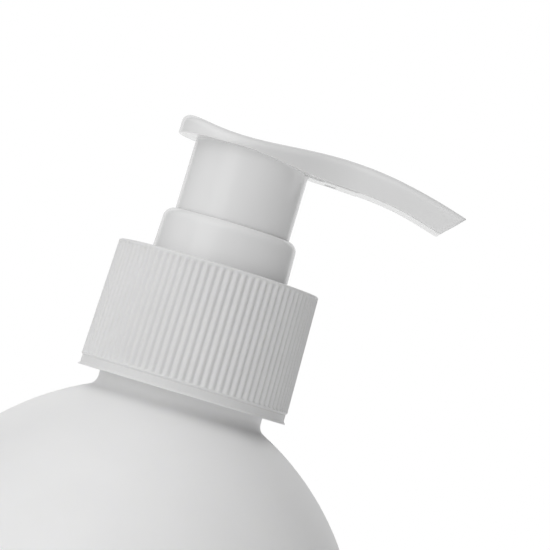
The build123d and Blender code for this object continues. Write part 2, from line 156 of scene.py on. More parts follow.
def swept(rings, closed_ends=True):
    """Vertices and faces of a run of rings that all have the same number of points."""
    n = len(rings[0])
    verts = [p for ring in rings for p in ring]
    faces = []
    for k in range(len(rings) - 1):
        for j in range(n):
            a, b = k * n + j, k * n + (j + 1) % n
            faces.append([a, b, b + n, a + n])
    if closed_ends:
        faces.append(list(range(n)))
        faces.append(list(range((len(rings) - 1) * n, len(rings) * n)))
    return verts, faces


def smooth_step(low_x, high_x, x):
    """0 below low_x, 1 above high_x, and a smooth rise between."""
    t = max(0.0, min(1.0, (x - low_x) / (high_x - low_x)))
    return t * t * (3 - 2 * t)


def made(name, shape, body, material, slot, *nodes):
    """A smooth mesh object from (vertices in millimetres, faces), riding on a CAD body."""
    verts, faces = shape
    mesh = bpy.data.meshes.new(name)
    mesh.from_pydata([(x * MM, y * MM, z * MM) for x, y, z in verts], [], faces)
    work = bmesh.new()
    work.from_mesh(mesh)
    bmesh.ops.remove_doubles(work, verts=work.verts, dist=1e-6)
    bmesh.ops.recalc_face_normals(work, faces=work.faces)
    work.to_mesh(mesh)
    work.free()
    mesh.shade_smooth()
    piece = bpy.data.objects.new(name, mesh)
    bpy.context.scene.collection.objects.link(piece)
    mesh.materials.append(material)
    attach(piece, body)
    if nodes:
        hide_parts(*nodes)
    return piece


def spline(points, tangents):
    """A function of x: the cubic spline through the points, with those slopes at its two ends."""
    x = np.array([p[0] for p in points], float)
    z = np.array([p[1] for p in points], float)
    n = len(x)
    h = np.diff(x)
    system, right = np.zeros((n, n)), np.zeros(n)
    system[0, 0] = system[-1, -1] = 1
    right[0], right[-1] = tangents
    for i in range(1, n - 1):
        system[i, i - 1] = 1 / h[i - 1]
        system[i, i] = 2 / h[i - 1] + 2 / h[i]
        system[i, i + 1] = 1 / h[i]
        right[i] = 3 * ((z[i] - z[i - 1]) / h[i - 1] ** 2 + (z[i + 1] - z[i]) / h[i] ** 2)
    slope = np.linalg.solve(system, right)

    def height(at):
        i = min(max(int(np.searchsorted(x, at)) - 1, 0), n - 2)
        t = (at - x[i]) / h[i]
        return float(
            (2 * t**3 - 3 * t**2 + 1) * z[i]
            + (t**3 - 2 * t**2 + t) * h[i] * slope[i]
            + (3 * t**2 - 2 * t**3) * z[i + 1]
            + (t**3 - t**2) * h[i] * slope[i + 1]
        )

    return height


# ---------------------------------------------------------------- materials

PLASTIC_IOR = 1.5
CLEAR_IOR = 1.49
SCATTER_DEPTH = 0.0008  # metres that light travels inside the white plastic
CLEAR_SCATTER_DEPTH = 0.001


class Shader:
    """A material's nodes, wired in a few words."""

    def __init__(self, name):
        self.material = bpy.data.materials.new(name)
        self.material.use_nodes = True
        self.tree = self.material.node_tree
        self.surface = self.tree.nodes["Principled BSDF"]
        self.place = self.node("ShaderNodeTexCoord").outputs["Object"]

    def node(self, kind, **values):
        made_node = self.tree.nodes.new(kind)
        for key, value in values.items():
            setattr(made_node, key, value)
        return made_node

    def link(self, a, b):
        self.tree.links.new(a, b)

    def noise(self, scale, detail=2.0, rough=0.5):
        noise = self.node("ShaderNodeTexNoise")
        noise.inputs["Scale"].default_value = scale
        noise.inputs["Detail"].default_value = detail
        noise.inputs["Roughness"].default_value = rough
        self.link(self.place, noise.inputs["Vector"])
        return noise.outputs["Fac"]

    def between(self, value, out_low, out_high, in_low=0.3, in_high=0.7):
        span = self.node("ShaderNodeMapRange")
        span.inputs["From Min"].default_value = in_low
        span.inputs["From Max"].default_value = in_high
        span.inputs["To Min"].default_value = out_low
        span.inputs["To Max"].default_value = out_high
        self.link(value, span.inputs["Value"])
        return span.outputs["Result"]

    def tinted(self, value, dark, light):
        ramp = self.node("ShaderNodeValToRGB")
        ramp.color_ramp.elements[0].position = 0.3
        ramp.color_ramp.elements[1].position = 0.7
        ramp.color_ramp.elements[0].color = (*dark, 1.0)
        ramp.color_ramp.elements[1].color = (*light, 1.0)
        self.link(value, ramp.inputs["Fac"])
        self.link(ramp.outputs["Color"], self.surface.inputs["Base Color"])

    def bumped(self, height, distance, under=None):
        bump = self.node("ShaderNodeBump")
        bump.inputs["Distance"].default_value = distance
        self.link(height, bump.inputs["Height"])
        if under:
            self.link(under, bump.inputs["Normal"])
        return bump.outputs["Normal"]


def grey(level):
    """A neutral colour."""
    return (level, level, level)


def plastic(name, light, dark, roughness, grain, grain_scale, waves=0.0, scatter=0.0):
    """Moulded plastic: faint mottle in its colour, gloss that varies, a fine grain and slow waves."""
    s = Shader(name)
    s.tinted(s.noise(90.0, 3.0), dark, light)
    gloss = s.between(s.noise(260.0, 3.0, 0.6), roughness - 0.03, roughness + 0.03)
    s.link(gloss, s.surface.inputs["Roughness"])
    normal = s.bumped(s.noise(grain_scale, 2.0), grain)
    if waves:
        normal = s.bumped(s.noise(70.0, 1.0), waves, under=normal)
    s.link(normal, s.surface.inputs["Normal"])
    s.surface.inputs["IOR"].default_value = PLASTIC_IOR
    if scatter:
        s.surface.inputs["Subsurface Weight"].default_value = scatter
        s.surface.inputs["Subsurface Radius"].default_value = (1.0, 1.0, 0.9)
        s.surface.inputs["Subsurface Scale"].default_value = SCATTER_DEPTH
    return s.material


def drawn_steel(name):
    """Stainless wire with a faint mottle, varying gloss and a fine grain."""
    s = Shader(name)
    s.tinted(s.noise(900.0, 2.0), (0.50, 0.50, 0.51), (0.66, 0.66, 0.67))
    s.link(s.between(s.noise(2500.0, 3.0, 0.6), 0.24, 0.38), s.surface.inputs["Roughness"])
    s.link(s.bumped(s.noise(6000.0, 2.0), 0.000004), s.surface.inputs["Normal"])
    s.surface.inputs["Metallic"].default_value = 1.0
    return s.material


def clear_plastic(name):
    """Unpigmented polypropylene, milky where it is thick."""
    s = Shader(name)
    s.tinted(s.noise(140.0, 3.0), (0.76, 0.78, 0.77), (0.84, 0.86, 0.85))
    s.link(s.between(s.noise(400.0, 3.0, 0.6), 0.22, 0.32), s.surface.inputs["Roughness"])
    s.link(s.bumped(s.noise(3000.0, 2.0), 0.000004), s.surface.inputs["Normal"])
    s.surface.inputs["IOR"].default_value = CLEAR_IOR
    s.surface.inputs["Transmission Weight"].default_value = 0.45
    s.surface.inputs["Subsurface Weight"].default_value = 0.4
    s.surface.inputs["Subsurface Radius"].default_value = (1.0, 1.0, 1.0)
    s.surface.inputs["Subsurface Scale"].default_value = CLEAR_SCATTER_DEPTH
    return s.material


BOTTLE_MATERIAL = plastic(
    "bottle_hdpe", grey(0.94), grey(0.92), 0.40, 0.000003, 2600.0, waves=0.00002, scatter=0.25
)
CLOSURE_MATERIAL = plastic("closure_pp", grey(0.81), grey(0.79), 0.52, 0.000004, 2600.0, scatter=0.2)
PUMP_MATERIAL = plastic("pump_pp", grey(0.87), grey(0.85), 0.15, 0.0000012, 1800.0, waves=0.000008)
SEAL_MATERIAL = plastic("seal_foam", (0.76, 0.76, 0.74), (0.70, 0.70, 0.68), 0.75, 0.00002, 4200.0)
CLEAR_MATERIAL = clear_plastic("natural_pp")
STEEL_MATERIAL = drawn_steel("stainless_wire")

# ---------------------------------------------------------------- levels shared by the pieces

ZC = low("screw_closure").z
CLOSURE_TOP = high("screw_closure").z
LIP_Z = high("bottle").z
BODY_R = high("bottle").x
PLATE_Z = ZC + 39.0  # underside of the head's round plate

# ---------------------------------------------------------------- bottle

WALL = 1.2
NECK_BORE_R = 11.1
NECK_R = 12.8
NECK_FOOT_R = 13.2
NECK_FOOT_TOP = ZC + 3.5
DOME_R = 44.34
DOME_Z = ZC - 42.4
STAND_R = 31.0
PUSH_UP = 3.0
PUSH_R = (STAND_R**2 + PUSH_UP**2) / (2 * PUSH_UP)  # radius of the hollow base's dish
SEAM_RISE = 0.035  # the parting line's height; the body is drawn that much smaller
SEAM_HALF_W = 0.16


def dome(radius, inset=0.0):
    """Height of the shoulder at that radius, outside or a wall's thickness in."""
    across = radius - (BODY_R - DOME_R)
    return DOME_Z + math.sqrt((DOME_R - inset) ** 2 - across**2)


def arc(centre_r, centre_z, radius, start, end, count):
    """Points of an arc in the (r, z) plane; its angles are degrees from the r axis."""
    angles = np.radians(np.linspace(start, end, count))
    return [(centre_r + radius * math.cos(a), centre_z + radius * math.sin(a)) for a in angles]


def bottle_profile():
    """The blown shell: from the middle of the base up the outside, over the lip, and down the inside."""
    push_angle = math.degrees(math.asin(STAND_R / PUSH_R))
    foot_angle = math.degrees(math.acos((NECK_FOOT_R + 2.0 - BODY_R + DOME_R) / DOME_R))
    centre_r = BODY_R - DOME_R
    outside = [(0.0, PUSH_UP)]
    outside += arc(0, PUSH_UP - PUSH_R, PUSH_R, 90, 90 - push_angle * 0.96, 14)[1:]
    outside += rounded(
        [outside[-1], (STAND_R + 0.3, 0.0, 0.9), (BODY_R, 0.0, 5.0), (BODY_R, DOME_Z)], steps=10, hold=0.5
    )[1:]
    outside += arc(centre_r, DOME_Z, DOME_R, 0, foot_angle, 72)[1:]
    outside += rounded(
        [
            outside[-1],
            (NECK_FOOT_R, dome(NECK_FOOT_R), 2.6),
            (NECK_FOOT_R, NECK_FOOT_TOP, 0.3),
            (NECK_R, NECK_FOOT_TOP + 0.4, 0.3),
            (NECK_R, LIP_Z, 0.4),
            (NECK_BORE_R, LIP_Z, 0.3),
            (NECK_BORE_R, dome(NECK_BORE_R, WALL) + 0.2, 0.5),
            (NECK_BORE_R + 1.6, dome(NECK_BORE_R + 1.6, WALL)),
        ],
        steps=8,
    )[1:]
    start = math.degrees(math.acos((NECK_BORE_R + 1.6 - centre_r) / (DOME_R - WALL)))
    outside += arc(centre_r, DOME_Z, DOME_R - WALL, start, 0, 24)[1:]
    outside += rounded(
        [
            (BODY_R - WALL, DOME_Z),
            (BODY_R - WALL, WALL, 3.8),
            (STAND_R + 0.3, WALL, 0.9),
            (STAND_R * 0.93, WALL + 0.4),
        ],
        steps=8,
    )[1:]
    inside = arc(0, PUSH_UP + WALL - PUSH_R, PUSH_R, 90 - push_angle * 0.85, 90, 10)
    return outside + inside[:-1] + [(0.0, PUSH_UP + WALL)]


def seam_depth(profile):
    """How far each point is sunk: all but a thin raised line down each side of the mould's parting."""

    def depth(k, angle):
        r, z = profile[k]
        within = r < BODY_R - WALL / 2 and z < dome(r) - WALL / 2
        if r < NECK_FOOT_R + 4 or within or z < 0.5:
            return 0.0
        fade = smooth_step(NECK_FOOT_R + 4, NECK_FOOT_R + 10, r) * smooth_step(0.5, 4.0, z)
        across = abs(math.sin(angle)) * r
        return fade * SEAM_RISE * (1 - math.exp(-((across / SEAM_HALF_W) ** 2)))

    return depth


def seam_angles(count, r, near):
    """Angles of a full turn, with a few more about the parting line at each side."""
    extra = [side + off / r for side in (0.0, math.pi) for off in near]
    full = 2 * math.pi
    plain = [a for a in evenly(count) if all(abs(math.remainder(a - e, full)) > 0.006 for e in extra)]
    return sorted(a % full for a in plain + extra)


def thread(root_r, crest_r, root_w, crest_w, low_z, turns, pitch, sink=0.25, per_turn=72):
    """A helical ridge with rounded flanks that runs out at both ends."""
    rings = []
    out = 1 if crest_r > root_r else -1
    count = int(per_turn * turns)
    for k in range(count + 1):
        t = k / count
        angle = 2 * math.pi * turns * t
        z = low_z + pitch * turns * t
        run_out = min(smooth_step(0, 0.12, t), smooth_step(0, 0.12, 1 - t))
        rise = (crest_r - root_r) * min(1.0, run_out + 0.02)
        section = [
            (-out * sink, -root_w / 2),
            (0.0, -root_w / 2),
            (0.75 * rise, -crest_w / 2 - 0.15),
            (rise, -crest_w / 2 + 0.12),
            (rise, crest_w / 2 - 0.12),
            (0.75 * rise, crest_w / 2 + 0.15),
            (0.0, root_w / 2),
            (-out * sink, root_w / 2),
        ]
        c, s = math.cos(angle), math.sin(angle)
        rings.append([((root_r + dr) * c, (root_r + dr) * s, z + dz) for dr, dz in section])
    return swept(rings)


PITCH = 4.233
TURNS = 1.5
THREAD_LOW = LIP_Z - 8.7
BOTTLE_CREST_R = 13.85
CLOSURE_CREST_R = 13.1
SEAM_OFFSETS = (-0.6, -0.36, -0.24, -0.14, -0.06, 0.0, 0.06, 0.14, 0.24, 0.36, 0.6)


def pinch_off():
    """The welded seam across the hollow base, where the mould shut on the blown tube."""
    half_length, half_w, rise = 19.0, 0.45, 0.35
    rings = []
    for x in np.linspace(-half_length, half_length, 61):
        base_z = PUSH_UP - PUSH_R + math.sqrt(PUSH_R**2 - x**2)
        end = math.sqrt(max(0.0, 1 - (abs(x) / half_length) ** 8))
        section = [(-half_w, 0.3), (-half_w, -0.05), (-half_w * 0.5, -rise * 0.8), (0, -rise)]
        section += [(half_w * 0.5, -rise * 0.8), (half_w, -0.05), (half_w, 0.3)]
        rings.append([(float(x), w * end, base_z + (h * end if h < 0 else h)) for w, h in section])
    return swept(rings)


profile = bottle_profile()
angles = seam_angles(240, BODY_R, SEAM_OFFSETS)
made(
    "bottle_shell",
    joined(
        turned(profile, angles, closed=False, depth=seam_depth(profile)),
        thread(NECK_R, BOTTLE_CREST_R, 2.2, 1.0, THREAD_LOW, TURNS, PITCH),
        pinch_off(),
    ),
    "bottle",
    BOTTLE_MATERIAL,
    "bottle_white",
    "bottle",
)

# ---------------------------------------------------------------- closure

RIBS = 86
RIB_COLUMNS = 10
RIB_DEPTH = 0.30
GRIP_LOW_R = 16.72
GRIP_TOP_R = 16.2
BAND_R = 16.52
RIM_R = 16.85
BAND_TOP = ZC + 1.4
GRIP_LOW = ZC + 1.7
CLOSURE_BORE_R = 14.15
CLOSURE_HOLE_R = 10.3
CLOSURE_TOP_T = 1.6
VALLEY_POWER = 1.4
RIB_FOOT_FADE = (0.08, 0.5)  # heights over the grip's foot between which the valleys set in
RIB_TOP_FADE = (0.28, 0.85)  # depths under the closure's top between which they do


def valley(angle):
    """Share of the rib's depth at that angle: broad rounded ribs with narrower valleys between."""
    u = (angle * RIBS / (2 * math.pi)) % 1.0
    return (0.5 + 0.5 * math.cos(2 * math.pi * (u - 0.5))) ** VALLEY_POWER


def grip_r(z):
    """Radius over the ribs, which tapers to the top."""
    return GRIP_LOW_R + (GRIP_TOP_R - GRIP_LOW_R) * (z - GRIP_LOW) / (CLOSURE_TOP - GRIP_LOW)


def closure_profile():
    """The screw closure's section: foot, flared rim, band, groove, grip, top and the inside."""
    grip = [(grip_r(z), z) for z in np.linspace(GRIP_LOW + 1.4, CLOSURE_TOP - 2.4, 16)]
    below = [(grip_r(GRIP_LOW + d), GRIP_LOW + d) for d in (0.15, 0.22, 0.3, 0.4, 0.5, 0.7)]
    above = [(grip_r(CLOSURE_TOP - d), CLOSURE_TOP - d) for d in (1.5, 1.1, 0.9, 0.8, 0.7, 0.62)]
    return (
        rounded(
            [
                (CLOSURE_BORE_R, ZC + 6.0),
                (CLOSURE_BORE_R, ZC + 0.02, 0.35),
                (RIM_R, ZC, 0.05),
                (RIM_R - 0.03, ZC + 0.12, 0.05),
                (BAND_R, ZC + 0.42, 0.2),
                (BAND_R, BAND_TOP, 0.08),
                (BAND_R - 0.05, BAND_TOP + 0.12, 0.1),
                (GRIP_LOW_R, GRIP_LOW + 0.05, 0.15),
                below[-1],
            ],
            steps=4,
            hold=0.1,
        )[:-3]
        + below
        + grip
        + above
        + rounded(
            [
                above[-1],
                (GRIP_TOP_R, CLOSURE_TOP, 0.6),
                (CLOSURE_HOLE_R, CLOSURE_TOP, 0.25),
                (CLOSURE_HOLE_R, CLOSURE_TOP - CLOSURE_TOP_T, 0.2),
                (CLOSURE_BORE_R, CLOSURE_TOP - CLOSURE_TOP_T, 0.3),
                (CLOSURE_BORE_R, ZC + 6.0),
            ],
            steps=6,
        )[1:-1]
    )


def rib_depth(outline):
    """How far a valley sinks each point of the closure's outline."""

    def depth(k, angle):
        r, z = outline[k]
        if r < GRIP_TOP_R - 0.6 or z < GRIP_LOW + 0.05 or z > CLOSURE_TOP - 0.2:
            return 0.0
        fade = smooth_step(*RIB_FOOT_FADE, z - GRIP_LOW) * smooth_step(*RIB_TOP_FADE, CLOSURE_TOP - z)
        return RIB_DEPTH * fade * valley(angle)

    return depth


outline = closure_profile()
made(
    "closure_shell",
    joined(
        turned(outline, evenly(RIBS * RIB_COLUMNS), closed=True, depth=rib_depth(outline)),
        thread(CLOSURE_BORE_R, CLOSURE_CREST_R, 2.0, 0.9, THREAD_LOW - PITCH / 2, TURNS, PITCH),
    ),
    "closure",
    CLOSURE_MATERIAL,
    "closure_white",
    "screw_closure",
)

# ---------------------------------------------------------------- collar

COLLAR_LOW_R = 10.95
COLLAR_TOP_R = 10.78
WELL_R = 10.15
WELL_BORE_R = 9.5
COLLAR_TOP = ZC + 27.5
COLLAR_FLOOR = ZC + 9.8
COLLAR_FLOOR_T = 1.2
COLLAR_SHOULDER = 1.6  # radius of the rounded top edge
GUIDE_R = 4.7
GUIDE_BORE_R = 3.58
GUIDE_TOP = COLLAR_FLOOR + 7.2

collar_outline = rounded(
    [
        (WELL_BORE_R, COLLAR_TOP - 0.24, 0.18),
        (WELL_BORE_R, COLLAR_FLOOR + COLLAR_FLOOR_T, 0.4),
        (GUIDE_R, COLLAR_FLOOR + COLLAR_FLOOR_T, 0.4),
        (GUIDE_R, GUIDE_TOP, 0.3),
        (GUIDE_BORE_R, GUIDE_TOP, 0.3),
        (GUIDE_BORE_R, COLLAR_FLOOR, 0.2),
        (WELL_R, COLLAR_FLOOR, 0.3),
        (WELL_R, CLOSURE_TOP + 0.1, 0.05),
        (COLLAR_LOW_R, CLOSURE_TOP + 0.1, 0.12),
        (COLLAR_TOP_R, COLLAR_TOP - COLLAR_SHOULDER, 0.5),
        *arc(COLLAR_TOP_R - COLLAR_SHOULDER, COLLAR_TOP - COLLAR_SHOULDER, COLLAR_SHOULDER, 8, 68, 9),
    ],
    closed=True,
    steps=8,
)
made(
    "collar_shell",
    turned(collar_outline, evenly(192), closed=True),
    "pump",
    PUMP_MATERIAL,
    "pump_white",
    "locking_collar",
)

# ---------------------------------------------------------------- head

DISC_X = -1.8
DISC_R = 10.4
DISC_END = math.radians(105)  # where the round back end passes into the spout's flank, from the back
SPOUT_HALF_W = 4.45
TIP_HALF_W = 3.95
SPOUT_X = 17.5
TIP_TOP = (34.75, ZC + 38.78)
TIP_LOW = (31.3, ZC + 35.25)
TIP_ROUND = 0.12
SPOUT_TAPER = (TIP_HALF_W - SPOUT_HALF_W) / (TIP_TOP[0] - SPOUT_X)
TOP_ROUND = 1.4
FOOT_ROUND = 0.12
END_HEIGHT = 3.5  # what a step's height is divided by for its share of the slanted end
UNDER_START = (9.4, ZC + 38.12)  # where the spout's underside leaves the skirt
top_line = spline(
    [
        (-13.2, ZC + 42.45),
        (-7.0, ZC + 41.2),
        (-1.3, ZC + 40.75),
        (7.0, ZC + 41.6),
        (14.2, ZC + 42.18),
        (26.5, ZC + 40.88),
        TIP_TOP,
    ],
    (-0.1, -0.3),
)
under_spline = spline(
    [UNDER_START, (SPOUT_X, ZC + 37.76), (24.1, ZC + 37.05), TIP_LOW],
    (-0.06, -0.27),
)


def under_line(x):
    """Height of the underside: level round the skirt, then the spout's lower edge."""
    if x < 0:
        return PLATE_Z
    if x < UNDER_START[0]:
        return PLATE_Z + (UNDER_START[1] - PLATE_Z) * x / UNDER_START[0]
    return under_spline(x)


def plan_half():
    """Half the plan's outline from the back to the tip, as (x, y, spine's x, share of the way to the tip)."""
    points = []
    for angle in np.linspace(0, DISC_END, 45):
        x, y = DISC_X - DISC_R * math.cos(angle), DISC_R * math.sin(angle)
        points.append((x, y, DISC_X + 0.35 * (x - DISC_X), 0.0))
    x0, y0 = points[-1][:2]
    dx0, dy0 = math.sin(DISC_END), math.cos(DISC_END)
    length = math.hypot(SPOUT_X - x0, y0 - SPOUT_HALF_W)
    start_gap = x0 - points[-1][2]
    for t in np.linspace(0, 1, 25)[1:]:
        a, b = 2 * t**3 - 3 * t**2 + 1, t**3 - 2 * t**2 + t
        c, d = 3 * t**2 - 2 * t**3, t**3 - t**2
        x = a * x0 + b * length * dx0 + c * SPOUT_X + d * length
        y = a * y0 + b * length * dy0 + c * SPOUT_HALF_W + d * length * SPOUT_TAPER
        points.append((x, y, x - (1 - t) * start_gap, 0.0))
    for share in [*np.linspace(0, 1, 33)[1:-1], 0.985, 0.995, 1.0]:
        half_w = SPOUT_HALF_W + (TIP_HALF_W - SPOUT_HALF_W) * share
        points.append((SPOUT_X, half_w, SPOUT_X, float(share)))
    return points


def quarter(radius, count):
    """Steps round a rounded edge, as (distance from one face, distance from the other)."""
    turns = np.linspace(0, math.pi / 2, count)
    return [(radius * (1 - math.sin(a)), radius * (1 - math.cos(a))) for a in turns]


def head_columns():
    """Columns of points, each from the middle of the underside round the edge to the middle of the top."""
    half = plan_half()
    foot = quarter(FOOT_ROUND, 5)
    brow = [(inset, drop) for drop, inset in quarter(TOP_ROUND, 11)]
    columns = []
    for i, (x, y, spine, share) in enumerate(half):
        if share or i == len(half) - 1:
            nx, ny = 0.0, -1.0
        elif i == 0:
            nx, ny = 1.0, 0.0
        else:
            before, after = half[i - 1], half[i + 1]
            tx, ty = after[0] - before[0], after[1] - before[1]
            size = math.hypot(tx, ty)
            nx, ny = (ty / size, -tx / size) if size > 1e-9 else (0.0, -1.0)

        def place(inset, pull, level):
            """(x, y) after stepping in by inset, then a share of the way to the spine; the tip slants."""
            px, py = x + nx * inset, y + ny * inset
            px, py = px + (spine - px) * pull, py * (1 - pull)
            if share:
                tip = TIP_LOW[0] + level * (TIP_TOP[0] - TIP_LOW[0]) - TIP_ROUND
                px = SPOUT_X + (tip - SPOUT_X) * share
            return px, py

        column = []
        for pull in (1.0, 0.8, 0.6, 0.4, 0.22, 0.1, 0.03):
            px, py = place(FOOT_ROUND, pull, 0.0)
            column.append((px, py, under_line(px)))
        for inset, rise in foot:
            px, py = place(inset, 0.0, rise / END_HEIGHT)
            column.append((px, py, under_line(px) + rise))
        for part in (0.1, 0.3, 0.5, 0.7, 0.9):
            px, py = place(0.0, 0.0, 0.05 + 0.6 * part)
            lower, upper = under_line(px) + FOOT_ROUND, top_line(px) - TOP_ROUND
            column.append((px, py, lower + (upper - lower) * part))
        for inset, drop in brow:
            px, py = place(inset, 0.0, 1 - drop / END_HEIGHT)
            column.append((px, py, top_line(px) - drop))
        for pull in (0.04, 0.12, 0.25, 0.45, 0.7, 1.0):
            px, py = place(TOP_ROUND, pull, 1.0)
            column.append((px, py, top_line(px)))
        columns.append(column)
    return columns


def head_plate():
    """Plate and spout as one closed skin, with the outlet's opening and passage in the slanted end."""
    right = head_columns()
    columns = [[(x, -y, z) for x, y, z in column] for column in reversed(right[1:])] + right
    rows = len(columns[0])
    verts = [p for column in columns for p in column]
    faces = []
    for i in range(len(columns) - 1):
        for k in range(rows - 1):
            a = i * rows + k
            faces.append([a, a + rows, a + rows + 1, a + 1])
    rim = columns[-1] + columns[0][::-1][1:-1]
    slope = np.array([TIP_TOP[0] - TIP_LOW[0], 0.0, TIP_TOP[1] - TIP_LOW[1]])
    up = slope / np.linalg.norm(slope)
    out = np.array([up[2], 0.0, -up[0]])
    centre = np.array([(TIP_TOP[0] + TIP_LOW[0]) / 2, 0.0, (TIP_TOP[1] + TIP_LOW[1]) / 2])
    flow = np.array([-0.95, 0.0, 0.31])  # the way back up the passage

    def slot_ring(half_w, half_h, back):
        """A rounded slot in the end face, or that far along the passage behind it."""
        ring = []
        for p in rim:
            d = np.array(p) - centre
            angle = math.atan2(float(d @ up) / 1.9, d[1] / SPOUT_HALF_W)
            c, s = math.cos(angle), math.sin(angle)
            across = half_w * math.copysign(abs(c) ** 0.55, c)
            along = half_h * math.copysign(abs(s) ** 0.8, s)
            ring.append(tuple(centre + up * along + np.array([0, across, 0]) + flow * back))
        return ring

    def rim_ring(inset, sink):
        """The end face's outer edge, drawn in and pushed out a little."""
        ring = []
        for p in rim:
            d = np.array(p) - centre
            size = float(np.linalg.norm(d))
            behind = float(d @ out)
            ring.append(tuple(np.array(p) - d / size * inset - out * (behind + sink)))
        return ring

    rings = [
        rim,
        rim_ring(0.035, 0.3 * TIP_ROUND),
        rim_ring(0.08, 0.08 * TIP_ROUND),
        rim_ring(0.15, 0.0),
        rim_ring(0.4, 0.0),
        slot_ring(3.0, 1.15, 0.0),
        slot_ring(2.85, 1.02, 0.02),
        slot_ring(2.75, 0.95, 0.12),
        slot_ring(2.7, 0.92, 0.4),
        slot_ring(2.6, 0.9, 4.0),
        slot_ring(2.4, 0.9, 9.0),
    ]
    back_wall = (rings[-1], [list(range(len(rim)))])
    return joined((verts, faces), swept(rings, closed_ends=False), back_wall)


SKIRT_R = 9.25
SKIRT_BORE_R = 8.0
SKIRT_LOW = ZC + 23.0
SOCKET_R = 5.0
SOCKET_BORE_R = 3.5
SOCKET_FLOW_R = 2.3
STEM_TOP = PLATE_Z - 1.0
SOCKET_LOW = STEM_TOP - 8.0
HEAD_ROOT = PLATE_Z + 0.4  # how far the skirt, socket and fins reach up into the plate
FIN_SPAN = (4.8, 8.2)
FIN_HALF_T = 0.5
FIN_LOW = PLATE_Z - 5.0


def fin(angle):
    """A stiffening rib between the socket and the skirt, with its lower edge rounded."""
    section = rounded(
        [
            (-FIN_HALF_T, HEAD_ROOT),
            (-FIN_HALF_T, FIN_LOW, FIN_HALF_T * 0.9),
            (FIN_HALF_T, FIN_LOW, FIN_HALF_T * 0.9),
            (FIN_HALF_T, HEAD_ROOT),
        ],
        steps=4,
        hold=0.1,
    )
    c, s = math.cos(angle), math.sin(angle)
    return swept([[(r * c - t * s, r * s + t * c, z) for t, z in section] for r in FIN_SPAN])


skirt_outline = rounded(
    [
        (SKIRT_R, HEAD_ROOT),
        (SKIRT_BORE_R, HEAD_ROOT),
        (SKIRT_BORE_R, SKIRT_LOW, 0.3),
        (SKIRT_R, SKIRT_LOW, 0.4),
    ],
    closed=True,
)
socket_outline = rounded(
    [
        (SOCKET_R, HEAD_ROOT),
        (SOCKET_FLOW_R, HEAD_ROOT),
        (SOCKET_FLOW_R, STEM_TOP, 0.1),
        (SOCKET_BORE_R, STEM_TOP, 0.1),
        (SOCKET_BORE_R, SOCKET_LOW, 0.25),
        (SOCKET_R, SOCKET_LOW, 0.3),
    ],
    closed=True,
)
made(
    "head_shell",
    joined(
        head_plate(),
        turned(skirt_outline, evenly(192), closed=True),
        turned(socket_outline, evenly(96), closed=True),
        *[fin(angle) for angle in (math.pi / 2, math.pi, -math.pi / 2)],
    ),
    "head",
    PUMP_MATERIAL,
    "pump_white",
    "actuator_head",
)

# ---------------------------------------------------------------- plug under the spout

PLUG_ROOT_R = SKIRT_R - 0.1  # the plug starts just inside the skirt's wall, and follows it round
PLUG_END = 17.5
PLUG_ROUND = 0.2  # length over which its far end is rounded off
PLUG_HALF_W = 3.95
PLUG_PROUD = 0.10
PLUG_SUNK = 0.8  # how far the strip reaches up into the spout
PAD_PROUD = 0.10
PAD_HALF_W = 3.1
PAD_END = 11.8
POCKET_DEPTH = 0.22
POCKET_END = 14.1
POCKET_HALF_W = 3.1


def plug_drop(x, y):
    """How far the plug's underside stands below the spout's: a pad, a shallow pocket and a flat."""
    along_pad = 1 - smooth_step(PAD_END - 0.05, PAD_END + 0.05, x)
    across_pad = 1 - smooth_step(PAD_HALF_W - 0.05, PAD_HALF_W + 0.05, abs(y))
    into_pocket = smooth_step(PAD_END + 0.25, PAD_END + 0.4, x)
    along_pocket = into_pocket * (1 - smooth_step(POCKET_END - 0.4, POCKET_END - 0.25, x))
    across_pocket = 1 - smooth_step(POCKET_HALF_W - 0.15, POCKET_HALF_W, abs(y))
    return PLUG_PROUD + PAD_PROUD * along_pad * across_pad - POCKET_DEPTH * along_pocket * across_pocket


def plug_shape():
    """The strip that shuts the spout's underside, drawn across its width at each station."""
    xs = [0.0, 9.6, 10.4, 11.2, 11.7, 11.75, 11.8, 11.85, 11.95, 12.05, 12.12, 12.2, 12.6, 13.2, 13.6]
    xs += [13.7, 13.78, 13.85, 14.1, 14.8, 15.6, 16.4, 17.0]
    ys = [0, 1.0, 2.0, 2.7, 2.9, 2.95, 3.0, 3.05, 3.1, 3.15, 3.3, 3.6, 3.83]
    ys = [-y for y in reversed(ys[1:])] + ys
    rings = []
    for x in xs + [PLUG_END - PLUG_ROUND, PLUG_END - 0.4 * PLUG_ROUND, PLUG_END]:
        end = max(0.0, (x - PLUG_END + PLUG_ROUND) / PLUG_ROUND)
        width = PLUG_HALF_W - 0.25 * end**2
        lift = 0.12 * end**2
        side = max(x, math.sqrt(PLUG_ROOT_R**2 - width**2))
        ring = []
        for y in ys:
            at = max(x, math.sqrt(PLUG_ROOT_R**2 - y**2))
            ring.append((at, y * width / PLUG_HALF_W, under_line(at) - plug_drop(at, y) + lift))
        foot_z, sunk_z = under_line(side) - 0.02 + lift, under_line(side) + PLUG_SUNK
        ring += [(side, width, foot_z), (side, width, sunk_z), (side, -width, sunk_z), (side, -width, foot_z)]
        rings.append(ring)
    return swept(rings)


made("plug_strip", plug_shape(), "head", PUMP_MATERIAL, "pump_white", "spout_plug")

# ---------------------------------------------------------------- return spring

SPRING_R = 4.7
WIRE_R = 0.5
SPRING_TURNS = 9.0
spring_low, spring_high = low("return_spring").z, high("return_spring").z


